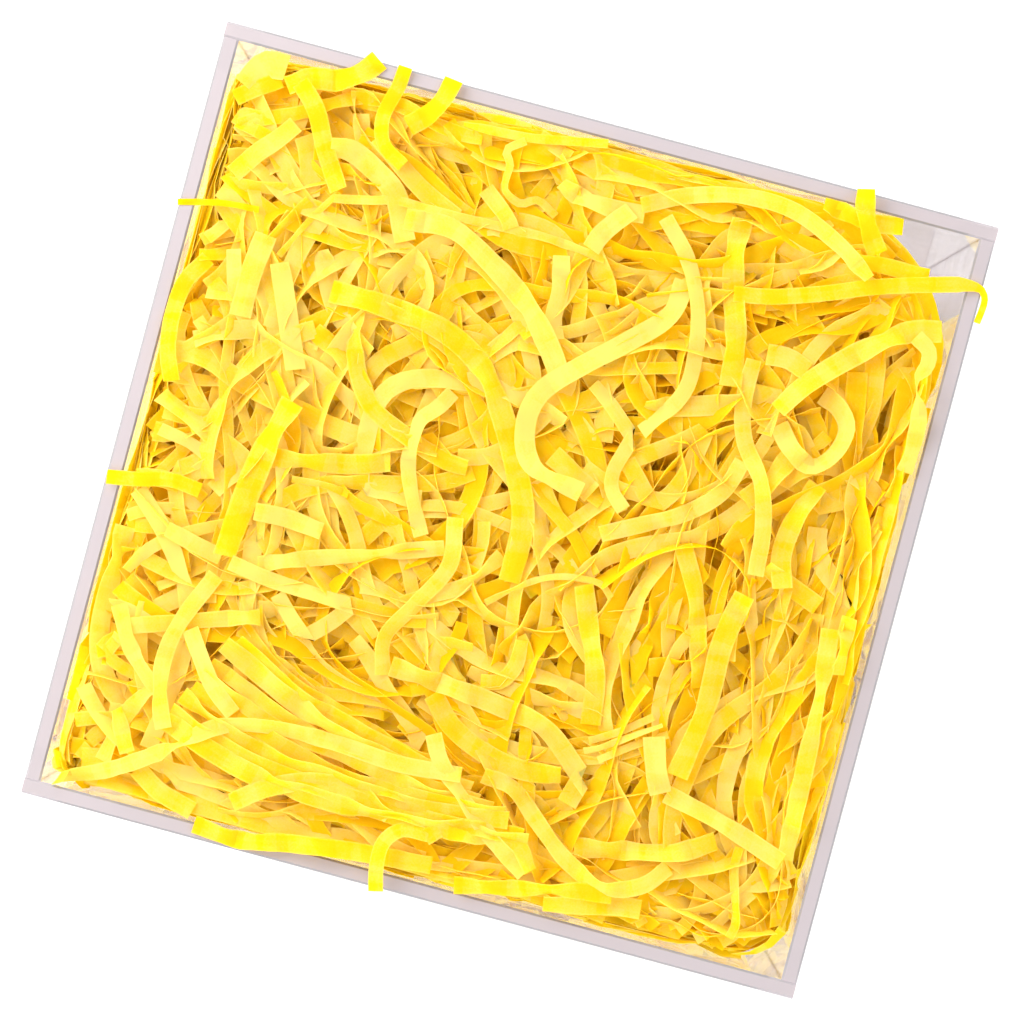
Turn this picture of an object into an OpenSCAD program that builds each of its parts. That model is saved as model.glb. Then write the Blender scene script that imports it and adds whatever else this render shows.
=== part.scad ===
// A clear square box, open at the top, brimful of shredded paper.
// Millimetres, +Z up. The origin is the centre of the underside of the base,
// +X runs to the right panel and +Y to the back panel.

/* [Box] */
// Outside width of the box, left to right
box_w = 150; // [110:1:300]
// Outside depth of the box, front to back
box_d = 150; // [110:1:300]
// Height of the box, from its underside to its rim
box_h = 100; // [40:1:250]
// Thickness of the four wall panels
wall_t = 3; // [2:0.5:6]
// Thickness of the base panel
base_t = 3; // [2:0.5:8]
// Polished bevel along the top edges of the wall panels
rim_bevel = 0.4; // [0.1:0.1:0.8]

/* [Paper bed] */
// Gap that the bed keeps from the panels around it and below it
bed_gap = 0.3; // [0.2:0.1:2]
// Radius of the bed's upright corners, which the paper doesn't fill
bed_corner_r = 14; // [6:1:30]
// Height of the middle of the bed above the rim
bed_crown = 3; // [1:0.5:3.5]
// Depth of the bed below the rim where it meets the middle of a wall
bed_dip = 2; // [1:0.5:10]
// Thickness of the closed skin that stands for the bed and carries its weight
bed_skin_t = 0.6; // [0.4:0.1:2]

/* [Top shreds] */
// Thickness of one shred of paper
shred_t = 0.15; // [0.1:0.05:0.25]
// Width of a shred of the middle size, which the others follow
shred_w = 3; // [2:0.1:3.6]
// Clearance under a shred where it passes over the rim
rim_gap = 0.4; // [0.3:0.1:1]
// Height that the top shreds rise from the rim to the middle of the box
top_rise = 4.5; // [4:0.5:12]
// Height from one layer of top shreds to the next
layer_pitch = 0.45; // [0.35:0.05:1]
// Length of the shred that hangs down outside the right panel
hang_len = 9; // [4:1:20]

/* [Hidden] */
$fn = 64;

// The layout of the top shreds was drawn for a box of this width and depth,
// and it stretches with the box, so that a shred over the rim stays over it.
layout_side = 150;

// Points of a top shred's centre line from one of its listed points to the next
steps_per_span = 3;

// Facets of the large sphere that the bed's top is a part of
dome_fn = 200;

wall_h = box_h - base_t;
side_panel_d = box_d - 2 * wall_t;
inside_w = box_w - 2 * wall_t;
inside_d = box_d - 2 * wall_t;
bed_w = inside_w - 2 * bed_gap;
bed_d = inside_d - 2 * bed_gap;
bed_bottom = base_t + bed_gap;
bed_top = box_h + bed_crown;

// Radius of the sphere that rises bed_rise over half of the bed's shorter side
bed_rise = bed_crown + bed_dip;
bed_half = min(bed_w, bed_d) / 2;
dome_r = (bed_half * bed_half + bed_rise * bed_rise) / (2 * bed_rise);

acrylic = [0.90, 0.87, 0.92, 0.35];
bed_yellow = [1.00, 0.80, 0.10];
top_yellow = [1.00, 0.90, 0.35];
pale_yellow = [1.00, 0.95, 0.62];

// Every top shred: its node, its width as a share of shred_w, its layer from 0, its colour, and the
// points of its centre line, which run left to right (x) and front to back (y) over a layout_side box
SHREDS = [
    ["rim_shred_back_1", 1.1, 1, top_yellow, [[-45.5, 74.8], [-48, 72], [-52, 69.5], [-57, 68.5], [-61, 66]]],
    ["rim_shred_back_2", 0.9, 3, top_yellow, [[-40.4, 74.8], [-40.8, 71], [-42, 65], [-40.5, 60], [-36, 57]]],
    ["rim_shred_back_3", 1.1, 0, top_yellow, [[-31, 74.8], [-32, 71], [-34, 67.5], [-37, 64.5]]],
    ["rim_shred_back_4", 1.1, 1, top_yellow, [[48.8, 74.8], [49.8, 71], [51.5, 67.5], [54, 64]]],
    ["rim_shred_left_1", 0.4, 0, top_yellow, [[-74.8, 39.7], [-71, 40.8], [-66, 41.8], [-60, 42.2]]],
    ["rim_shred_left_2", 1.1, 1, top_yellow, [[-69, 31], [-72, 26], [-72.8, 20], [-72, 13], [-69.5, 7]]],
    ["rim_shred_left_3", 1.1, 0, top_yellow, [[-74.5, -13.5], [-69, -12.5], [-63, -11], [-57, -11.5]]],
    ["rim_shred_front_1", 0.8, 3, top_yellow, [[-5.8, -74.8], [-6.8, -71], [-6.8, -66], [-4, -62.7], [1, -62.3]]],
    ["rim_shred_front_2", 1.0, 1, top_yellow, [[-42, -72.2], [-33, -72.8], [-23, -70.8], [-12, -69.3], [3, -68]]],
    ["arc_shred_front_left", 1.0, 3, pale_yellow,
        [[-69, -70.5], [-60, -66.5], [-50, -59.5], [-42, -53], [-32, -50.5], [-20, -50.3], [-8, -51], [4, -50]]],
    ["arc_shred_front_right", 1.0, 3, pale_yellow,
        [[8, -49.3], [14, -50.2], [20, -55], [27, -60.5], [35, -63.5], [42, -61.5], [46, -57]]],
    ["arc_shred_front", 1.0, 2, pale_yellow, [[-36, -66], [-30, -61.5], [-22, -58.2], [-14, -58], [-7, -61]]],
    ["arch_shred_front", 0.9, 2, top_yellow, [[0.5, -63], [4, -60], [10, -58.7], [17, -59.5], [21, -64]]],
    ["arch_shred_back", 0.9, 2, pale_yellow, [[9, 61.5], [17, 65.5], [27, 68], [37, 67.8], [46, 64], [53.5, 59]]],
    ["edge_shred_front", 1.0, 1, top_yellow, [[8, -70.5], [17, -68.5], [27, -66], [37, -64.5]]],
    ["edge_shred_right", 1.0, 1, pale_yellow, [[63.5, -6], [64.5, -14], [65.3, -24], [66, -36], [66.3, -46]]],
    ["level_shred_right", 1.0, 3, pale_yellow, [[42, -43.8], [50, -45.5], [57, -47.5], [63, -49.8]]],
    ["level_shred_front", 1.1, 1, pale_yellow, [[28, -58], [38, -56], [47, -53.8], [53.3, -50]]],
    ["crossing_shred_right", 1.2, 2, pale_yellow, [[43.5, 31], [47, 36.5], [52, 42], [58, 47.5], [64, 51.7], [69.5, 53.2]]],
    ["crossing_shred_left", 1.2, 2, pale_yellow, [[-33, 47.5], [-24, 48], [-15, 43.5], [-7, 38], [-1, 31.5], [3, 26]]],
    ["sweeping_shred", 1.3, 1, top_yellow,
        [[-43, 31], [-32, 30.8], [-21, 29.3], [-12, 24.5], [-5.5, 16], [0, 6], [3, -2], [3.3, -13]]],
    ["loop_shred_right", 0.9, 4, pale_yellow, [[14, 60.5], [20, 54], [24, 46], [26, 37], [25.5, 29], [20, 20.5]]],
    ["loop_shred_left", 1.1, 3, pale_yellow,
        [[20.5, 50], [19.5, 43], [13, 36], [6, 29.5], [0, 23], [-1.3, 16], [2, 9], [12, 6.6]]],
    ["cup_shred", 1.1, 3, pale_yellow, [[44.5, 28.5], [48, 24.5], [52.5, 22.5], [56, 26], [57, 31]]],
    ["short_shred_back", 1.2, 1, pale_yellow, [[39, 40.7], [43, 40.9], [47, 39.5]]],
    ["long_shred_right", 1.2, 0, top_yellow, [[28, 64], [28.3, 57], [30, 50], [32.5, 42], [33.8, 33]]],
    ["winding_shred_right", 0.9, 2, pale_yellow, [[36.8, 39], [37, 31], [39, 24], [44, 17], [46.6, 9], [47.5, 0]]],
    ["bowed_shred_right", 0.9, 1, pale_yellow, [[17.5, 0], [25, 4], [32, 8], [37.5, 13.5], [39.7, 20]]],
    ["upright_shred_right", 1.3, 1, top_yellow, [[46.5, -4], [44.8, -14], [45, -26], [43, -40]]],
    ["slanting_shred_right", 1.0, 0, pale_yellow, [[33, 2], [37.5, -6], [40.5, -15], [43, -23]]],
    ["inner_shred_right", 1.1, 1, top_yellow, [[54.5, 19.5], [52, 12], [51.3, 5], [53, -1]]],
    ["middle_shred_right", 1.1, 0, top_yellow, [[17, -10], [20, -17.5], [23.5, -26], [25, -35]]],
    ["middle_shred_front", 1.1, 3, pale_yellow, [[-14, -34], [-3, -34.8], [8, -36], [17, -37.8], [24, -43.5]]],
    ["inner_shred_front", 1.1, 1, pale_yellow, [[-5, -37], [0, -42], [8, -45.5], [15, -46.5], [22, -45.5]]],
    ["frayed_shred_front", 0.9, 4, pale_yellow, [[-3, -44], [0, -49], [6, -54.5], [12.5, -60], [20, -64.8]]],
    ["pale_shred_left", 1.2, 2, pale_yellow, [[-53.7, 33.5], [-51, 27.5], [-48.5, 21.5], [-45.6, 15]]],
    ["upright_shred_left", 1.3, 0, pale_yellow, [[-57.5, 38], [-58.2, 30], [-58.3, 22]]],
    ["corner_shred_left", 0.9, 0, top_yellow, [[-70, 61.5], [-66.5, 64.3], [-62.5, 67]]],
    ["corner_shred_back", 1.0, 3, top_yellow, [[-58.5, 67], [-54.5, 63], [-51, 56.5], [-46.5, 49.5]]],
    ["broad_shred_left", 1.5, 2, top_yellow, [[-44.5, 9], [-47, 0], [-48.5, -11], [-49.3, -22]]],
    ["bent_shred_left", 0.9, 1, pale_yellow, [[-50, -26], [-54, -36], [-55.3, -44], [-53.5, -52], [-51.8, -56]]],
    ["arrow_shred_left", 1.0, 0, pale_yellow, [[-10, -10], [-17, -12.5], [-25, -15.5], [-34, -18.5], [-43, -22]]],
    ["bent_shred_middle", 0.9, 1, pale_yellow, [[-9.5, -4], [-8.3, -13], [-12.5, -21.5], [-16.5, -29], [-15, -36]]],
    ["level_shred_left", 1.0, 3, pale_yellow, [[-48, -23], [-40, -24.2], [-32, -24.6], [-25, -25.2]]],
    ["short_shred_left", 1.0, 1, pale_yellow, [[-46, -12.6], [-40, -12.3], [-33, -13]]],
    ["inner_shred_left", 1.1, 1, pale_yellow, [[-45.5, -2], [-38, -0.8], [-30, 0.8], [-24, 3]]],
];

// The shred that hangs over the right panel: its node, where it starts, how far back it lies, and its layer
HANGING = "rim_shred_right";
hanging_start = [36, 58];
hanging_layer = 3;
hanging_steps = 8;

PANELS = ["base_panel", "front_panel", "back_panel", "left_panel", "right_panel"];

// ---- Panels -------------------------------------------------------------------------------

module base_panel()
    color(acrylic)
        translate([-box_w / 2, -box_d / 2, 0])
            cube([box_w, box_d, base_t]);

// A wall panel of a given length along +X, centred on it, with its outer face at y = 0
module wall_panel(length)
    translate([-length / 2, 0, base_t])
        rotate([90, 0, 90])
            linear_extrude(length)
                polygon([
                    [0, 0], [wall_t, 0], [wall_t, wall_h - rim_bevel], [wall_t - rim_bevel, wall_h],
                    [rim_bevel, wall_h], [0, wall_h - rim_bevel]
                ]);

module front_panel()
    color(acrylic)
        translate([0, -box_d / 2, 0])
            wall_panel(box_w);

module back_panel()
    color(acrylic)
        mirror([0, 1, 0])
            translate([0, -box_d / 2, 0])
                wall_panel(box_w);

module right_panel()
    color(acrylic)
        translate([box_w / 2, 0, 0])
            rotate([0, 0, 90])
                wall_panel(side_panel_d);

module left_panel()
    color(acrylic)
        mirror([1, 0, 0])
            translate([box_w / 2, 0, 0])
                rotate([0, 0, 90])
                    wall_panel(side_panel_d);

// ---- Paper bed ----------------------------------------------------------------------------

// The bed's outline with round corners, drawn in by inset all round
module bed_outline(inset) {
    half_w = bed_w / 2 - inset;
    half_d = bed_d / 2 - inset;
    corner_r = bed_corner_r - inset;
    square([2 * half_w, 2 * (half_d - corner_r)], center = true);
    square([2 * (half_w - corner_r), 2 * half_d], center = true);
    for (x = [-1, 1], y = [-1, 1])
        translate([x * (half_w - corner_r), y * (half_d - corner_r)])
            circle(corner_r);
}

// The bed's whole shape, drawn in by inset on every side: upright sides, which pass the dome's top, under
// a shallow dome
module bed_shape(inset)
    intersection() {
        translate([0, 0, bed_bottom + inset])
            linear_extrude(bed_top)
                bed_outline(inset);
        translate([0, 0, bed_top - dome_r])
            sphere(dome_r - inset, $fn = dome_fn);
    }

// Loose paper is mostly air, so a closed skin of the bed's shape carries the weight of its shreds
module paper_bed()
    color(bed_yellow)
        difference() {
            bed_shape(0);
            bed_shape(bed_skin_t);
        }

// ---- Top shreds ---------------------------------------------------------------------------

// A point of the layout, stretched to this box
function placed(p) = [p.x * box_w / layout_side, p.y * box_d / layout_side];

// Height of the lowest layer of top shreds: level with the rim's clearance at the walls, and higher inside
function rise_share(along, side) = max(0, 1 - pow(2 * along / side, 2));
function layer_base(p) = box_h + rim_gap + top_rise * rise_share(p.x, box_w) * rise_share(p.y, box_d);

// A point of a smooth curve that passes through b and c, with a and d as their neighbours
function curve_point(a, b, c, d, t) =
    (2 * b + (c - a) * t + (2 * a - 5 * b + 4 * c - d) * t * t + (3 * b - a - 3 * c + d) * t * t * t) / 2;

// The smooth centre line through a list of points
function centre_line(points) =
    let (last = len(points) - 1)
    concat(
        [
            for (i = [0 : last - 1], step = [0 : steps_per_span - 1])
                curve_point(
                    points[max(i - 1, 0)], points[i], points[i + 1], points[min(i + 2, last)],
                    step / steps_per_span
                )
        ],
        [points[last]]
    );

// The direction to the left of a centre line at its point i
function left_of(line, i) =
    let (
        ahead = line[min(i + 1, len(line) - 1)] - line[max(i - 1, 0)],
        unit = ahead / norm(ahead)
    )
    [-unit.y, unit.x];

// Two triangles that join the edges a-b and c-d
function two_triangles(a, b, c, d) = [[a, b, c], [b, d, c]];

// A shred of a given width that lies in its layer along the line
module shred(line, width, layer) {
    last = len(line) - 1;
    // Each point of the line gives four corners, in order round the shred
    corners = [[1, 1], [1, 0], [-1, 0], [-1, 1]];
    vertices = [
        for (i = [0 : last], corner = corners)
            let (p = line[i] + corner.x * width / 2 * left_of(line, i))
            [p.x, p.y, layer_base(p) + layer * layer_pitch + corner.y * shred_t]
    ];
    sides = [
        for (i = [0 : last - 1], k = [0 : 3])
            let (a = 4 * i + k, b = 4 * i + (k + 1) % 4)
            each two_triangles(a, b, a + 4, b + 4)
    ];
    ends = [[0, 3, 2], [0, 2, 1], [4 * last, 4 * last + 1, 4 * last + 2], [4 * last, 4 * last + 2, 4 * last + 3]];
    polyhedron(vertices, concat(sides, ends));
}

module top_shred(entry)
    color(entry[3])
        shred(centre_line([for (p = entry[4]) placed(p)]), entry[1] * shred_w, entry[2]);

// A shred that runs straight to the right panel, over its rim and down outside it
module hanging_shred() {
    start = placed(hanging_start);
    outside = box_w / 2 + rim_gap;
    lift = hanging_layer * layer_pitch;
    along = [for (i = [0 : hanging_steps]) start.x + (outside - start.x) * i / hanging_steps];
    underside = [for (x = along) [x, layer_base([x, start.y]) + lift]];
    top = [for (i = [hanging_steps : -1 : 0]) underside[i] + [i == hanging_steps ? shred_t : 0, shred_t]];
    tip = [[outside, box_h - hang_len], [outside + shred_t, box_h - hang_len]];
    color(top_yellow)
        translate([0, start.y + shred_w / 2, 0])
            rotate([90, 0, 0])
                linear_extrude(shred_w)
                    polygon(concat(underside, tip, top));
}

// ---- The whole part -----------------------------------------------------------------------

base_panel();
front_panel();
back_panel();
left_panel();
right_panel();
paper_bed();
hanging_shred();
for (entry = SHREDS) top_shred(entry);
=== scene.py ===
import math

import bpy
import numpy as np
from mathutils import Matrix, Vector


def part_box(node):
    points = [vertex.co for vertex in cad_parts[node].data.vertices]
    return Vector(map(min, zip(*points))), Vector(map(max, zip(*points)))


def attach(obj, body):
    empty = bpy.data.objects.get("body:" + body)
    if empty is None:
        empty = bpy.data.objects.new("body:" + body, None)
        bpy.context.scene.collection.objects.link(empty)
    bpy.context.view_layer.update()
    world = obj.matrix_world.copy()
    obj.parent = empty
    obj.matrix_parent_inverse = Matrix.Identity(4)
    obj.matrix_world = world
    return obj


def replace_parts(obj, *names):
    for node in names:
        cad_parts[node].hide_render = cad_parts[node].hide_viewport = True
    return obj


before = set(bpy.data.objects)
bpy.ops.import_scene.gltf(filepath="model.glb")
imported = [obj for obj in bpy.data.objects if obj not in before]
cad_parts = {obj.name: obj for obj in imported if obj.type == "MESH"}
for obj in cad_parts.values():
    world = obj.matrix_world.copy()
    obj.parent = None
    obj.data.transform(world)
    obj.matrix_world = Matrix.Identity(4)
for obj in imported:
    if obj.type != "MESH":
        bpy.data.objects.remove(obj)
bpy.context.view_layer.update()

# A clear acrylic box brimful of yellow shredded paper, seen from straight above.
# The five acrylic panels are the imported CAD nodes. All the paper is built here: thin closed
# ribbons that fill the box, lie on each other at the top and hang over the rim.
# Ribbons are laid out in millimetres and turned into metres when their mesh is made.

MM = 0.001


def node_box(name):
    """Lowest and highest corner of a CAD node, in millimetres."""
    low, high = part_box(name)
    return np.array(low) / MM, np.array(high) / MM


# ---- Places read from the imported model, in millimetres ----

INNER_HALF = node_box("right_panel")[0][0]
OUTER_HALF = node_box("right_panel")[1][0]
BASE_TOP = node_box("base_panel")[1][2]
RIM = node_box("right_panel")[1][2]

# ---- Paper sizes, in millimetres ----

STRIP_WIDTH = 3.5
PAPER_THICK = 0.09

# The loose strips at the top, of which those with the fewest steps or less are left out: widths
# are shares of the strip width, and gaps are the space under a strip
TOP_STRIPS = 1800
TOP_PIECES = 5
TOP_DEPTH = 8.5
TOP_STEP = 2.0
SHORTEST_TOP_STEPS = 20
LONGEST_TOP_STEPS = 60
FEWEST_TOP_STEPS = 4
TOP_WIDTHS = (0.65, 1.15)
TOP_GAPS = (0.02, 0.3)

# The loose strips below them, through the whole box, up to the drop below the rim
CORE_STRIPS = 2800
CORE_PIECES = 6
CORE_POINTS = 26
CORE_STEP = 4.0
CORE_WIDTHS = (0.9, 1.35)
CORE_DROP = 5

# How much wider than the box core strips start, so that more of them lie along the walls, how
# steeply, where 1 is all directions alike, how much they turn at a step and how much that changes,
# and how near a wall or the base they lie flat against it
CORE_SPREAD = 1.6
CORE_UPRIGHT = 0.45
CORE_TURN = 0.12
CORE_TURN_CHANGE = 0.06
CORE_FLAT_REACH = 4

# How the roll of a strip varies along it, in radians: steps from one random value to the next,
# and their size
TOP_ROLL = (3, 0.45)
PLACED_ROLL = (5, 0.42)

# The roll of a whole top strip, and the share of them that are twisted further, by how much
WHOLE_ROLL = 0.3
TWISTED_SHARE = 0.22
TWIST = (0.5, 1.2)

# How strips rise and sink along their length, given like the roll, in millimetres
TOP_WAVE = (4, 0.5)
PLACED_WAVE = (6, 0.5)

# The distance between points of the strips that are placed one by one
PLACED_STEP = 1.2

# The most that the middle of a loose top strip stands above the surface, that the heap under the
# placed strips stands above the rim, and that the middle of a placed strip stands above the rim
STAND_PROUD = 3.5
HEAP_OVER_RIM = 2.5
HIGHEST_SHRED = 6

# The surface of the loose paper: how far it lies below the rim in the middle, how much lower it
# is along the walls, and how much lower again in the corners
MIDDLE_DROP = 0.5
WALL_DROP = 3.5
CORNER_DROP = 8

# Least distance from a wall of a top strip's edge and of a core strip's middle, and what is added
# to it on average in each layer
WALL_GAP = 0.9
TOP_GAP_MEAN = 1.6
CORE_GAP_MEAN = 3

# Least distance between paper and panels
PANEL_CLEARANCE = 0.1

# Folds of top strips: their chance at a step, how many steps at least they are from each other
# and from the ends, how far a strip turns there in radians, and how far one part lies over the other
FOLD_CHANCE = 0.02
FOLD_APART = 3
FOLD_TURN = (0.9, 2.4)
FOLD_LIFT = 0.35

# The least sine of the angle between a crease and its strip, so that no crease is very long
LEAST_SLANT = 0.4

# Top strips run along a wall within about this distance of it, pulled this strongly
FLOW_REACH = 11
WALL_PULL = 0.5

# How a top strip turns at a step, in radians: towards the flow, by its own steady bend, and at
# random, of which some is kept from the step before
FLOW_TURN = 0.1
STEADY_TURN = 0.03
RANDOM_TURN = 0.05
TURN_KEPT = 0.85

# A top strip ends where the walls would push it sideways by this share of a step
MOST_PUSH = 0.3

# Top strips that start to the left of this place are half as long
SHORT_SIDE = -25

# How much paler top strips are painted at the left wall than at the middle: painted light, as from a lamp at
# the left
LEFT_PAINTED_LIGHT = 0.3

SEED = 11

# Radius of each rounded corner of the heap, by the signs of its x and y
CORNER_RADII = {(1, 1): 30, (-1, 1): 9, (-1, -1): 6, (1, -1): 10}

# Places where strips share a direction: x, y, reach in x, reach in y, angle in degrees, pull
FLOW_SPOTS = [
    (-20, -46, 26, 11, -22, 2.2),
    (0, -64, 60, 8, 2, 1.2),
    (36, 0, 12, 34, 82, 1.3),
    (60, -5, 9, 50, 84, 1.0),
    (30, 57, 30, 9, 12, 1.3),
    (-25, 55, 28, 10, -25, 1.0),
    (-48, 0, 12, 30, 95, 0.5),
    (-66, 0, 8, 60, 8, 0.8),
]

# The strips that lie on top, in the order that they lie on each other: name, width as a share of
# the strip width, paleness from 0 to 1, which is partly the paper's own tone and partly painted
# highlight on strips that face the light, and the points of the centre line from above.
# Each stands for the CAD node of the same name.
TOP_SHREDS = [
    # Strips that run over the rim
    ("rim_shred_back_1", 1.2, 0.3, [(-45.5, 75.2), (-48, 72), (-52, 69.5), (-57, 68.5), (-61, 66)]),
    ("rim_shred_back_3", 1.1, 0.2, [(-31, 75.2), (-32, 71), (-34, 67.5), (-37, 64.5)]),
    ("rim_shred_back_4", 1.1, 0.2, [(48.8, 75.2), (49.8, 71), (51.5, 67.5), (54, 64)]),
    ("rim_shred_left_1", 0.35, 0.0, [(-75.2, 39.7), (-71, 40.8), (-66, 41.8), (-60, 42.2)]),
    ("rim_shred_left_2", 0.9, 0.3, [(-67, 31), (-69.8, 26), (-70.6, 20), (-69.8, 13), (-67.5, 7)]),
    ("rim_shred_left_3", 0.8, 0.2, [(-74.6, -13.5), (-69, -12.5), (-63, -11), (-57, -11.5)]),
    ("rim_shred_front_2", 1.0, 0.3, [(-42, -72.2), (-33, -72.8), (-23, -70.8), (-12, -69.3), (3, -68)]),
    # Strips at the first level
    ("long_shred_right", 1.2, 0.4, [(28, 64), (28.3, 57), (30, 50), (32.5, 42), (33.8, 33)]),
    ("slanting_shred_right", 1.0, 0.4, [(33, 2), (37.5, -6), (40.5, -15), (43, -23)]),
    ("middle_shred_right", 1.1, 0.4, [(17, -10), (20, -17.5), (23.5, -26), (25, -35)]),
    ("upright_shred_left", 1.2, 0.7, [(-57.5, 38), (-58.2, 30), (-58.3, 22)]),
    ("corner_shred_left", 0.9, 0.3, [(-70, 61.5), (-66.5, 64.3), (-62.5, 67)]),
    ("arrow_shred_left", 0.9, 0.8, [(-10, -10), (-17, -12.5), (-25, -15.5), (-34, -18.5), (-43, -22)]),
    ("edge_shred_front", 1.0, 0.3, [(8, -70.5), (17, -68.5), (27, -66), (37, -64.5)]),
    ("edge_shred_right", 1.0, 0.5, [(63.5, -6), (64.5, -14), (65.3, -24), (66, -36), (66.6, -50)]),
    ("level_shred_front", 1.1, 0.5, [(28, -58), (38, -56), (47, -53.8), (53.3, -50)]),
    ("sweeping_shred", 1.25, 0.35,
        [(-43, 31), (-32, 30.8), (-21, 29.3), (-12, 24.5), (-5.5, 16), (0, 6), (3, -2), (3.3, -13)]),
    ("short_shred_back", 1.2, 0.6, [(39, 40.7), (43, 40.9), (47, 39.5)]),
    ("bowed_shred_right", 0.9, 0.7, [(17.5, 0), (25, 4), (32, 8), (37.5, 13.5), (39.7, 20)]),
    ("upright_shred_right", 1.2, 0.4, [(46.5, -4), (44.8, -14), (45, -26), (43, -40)]),
    ("inner_shred_right", 1.1, 0.4, [(54.5, 19.5), (52, 12), (51.3, 5), (53, -1)]),
    ("inner_shred_front", 1.1, 0.4, [(-5, -37), (0, -42), (8, -45.5), (15, -46.5), (22, -45.5)]),
    ("bent_shred_left", 0.9, 0.7, [(-50, -26), (-54, -36), (-55.3, -44), (-53.5, -52), (-51.8, -56)]),
    ("bent_shred_middle", 0.9, 0.6, [(-9.5, -4), (-8.3, -13), (-12.5, -21.5), (-16.5, -29), (-15, -36)]),
    ("short_shred_left", 1.0, 0.8, [(-46, -12.6), (-40, -12.3), (-33, -13)]),
    ("inner_shred_left", 1.1, 0.4, [(-45.5, -2), (-38, -0.8), (-30, 0.8), (-24, 3)]),
    # Strips at the second level
    ("arc_shred_front", 1.0, 0.5, [(-36, -66), (-30, -61.5), (-22, -58.2), (-14, -58), (-7, -61)]),
    ("arch_shred_front", 0.9, 0.4, [(0.5, -63), (4, -60), (10, -58.7), (17, -59.5), (21, -64)]),
    ("arch_shred_back", 0.9, 0.6, [(9, 61.5), (17, 65.5), (27, 68), (37, 67.8), (46, 64), (53.5, 59)]),
    ("crossing_shred_right", 1.2, 0.5,
        [(43.5, 31), (47, 36.5), (52, 42), (58, 47.5), (64, 51.7), (69.5, 53.2)]),
    ("crossing_shred_left", 1.2, 0.7, [(-33, 47.5), (-24, 48), (-15, 43.5), (-7, 38), (-1, 31.5), (3, 26)]),
    ("winding_shred_right", 0.9, 0.6, [(36.8, 39), (37, 31), (39, 24), (44, 17), (46.6, 9), (47.5, 0)]),
    ("pale_shred_left", 1.1, 1.0, [(-53.7, 33.5), (-51, 27.5), (-48.5, 21.5), (-45.6, 15)]),
    ("broad_shred_left", 1.4, 0.3, [(-44.5, 9), (-47, 0), (-48.5, -11), (-49.3, -22)]),
    # Strips at the third level
    ("rim_shred_back_2", 0.8, 0.2, [(-40.4, 75.2), (-40.8, 71), (-42, 65), (-40.5, 60), (-36, 57)]),
    ("rim_shred_front_1", 0.8, 0.4, [(-5.8, -75.2), (-6.8, -71), (-6.8, -66), (-4, -62.7), (1, -62.3)]),
    ("arc_shred_front_left", 0.9, 0.7,
        [(-69, -70.5), (-60, -66.5), (-50, -59.5), (-42, -53), (-32, -50.5), (-20, -50.3),
         (-8, -51), (4, -50)]),
    ("arc_shred_front_right", 0.9, 0.6,
        [(8, -49.3), (14, -50.2), (20, -55), (27, -60.5), (35, -63.5), (42, -61.5), (46, -57)]),
    ("level_shred_right", 1.0, 0.7, [(42, -43.8), (50, -45.5), (57, -47.5), (66, -50.5)]),
    ("loop_shred_left", 1.1, 0.9,
        [(20.5, 50), (19.5, 43), (13, 36), (6, 29.5), (0, 23), (-1.3, 16), (2, 9), (12, 6.6)]),
    ("cup_shred", 1.05, 0.8,
        [(44.5, 28.5), (48, 24.5), (52.5, 22.5), (56, 26), (57, 31), (54.5, 34.5), (51, 36)]),
    ("middle_shred_front", 1.1, 0.6,
        [(-14, -34), (-3, -34.8), (8, -36), (17, -37.8), (26, -45), (26, -45), (24.5, -50.5)]),
    ("corner_shred_back", 1.0, 0.3, [(-58.5, 67), (-54.5, 63), (-51, 56.5), (-46.5, 49.5)]),
    ("level_shred_left", 0.85, 0.9,
        [(-48, -23), (-40, -24.2), (-32, -24.6), (-24, -25), (-24, -25), (-27, -29), (-31, -33),
         (-31, -33), (-34.5, -30), (-38, -26.5)]),
    # Strips at the last level
    ("loop_shred_right", 0.85, 0.9, [(14, 60.5), (20, 54), (24, 46), (26, 37), (25.5, 29), (20, 20.5)]),
    ("frayed_shred_front", 0.9, 0.8, [(-3, -44), (0, -49), (6, -54.5), (12.5, -60), (20, -64.8)]),
]
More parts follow.
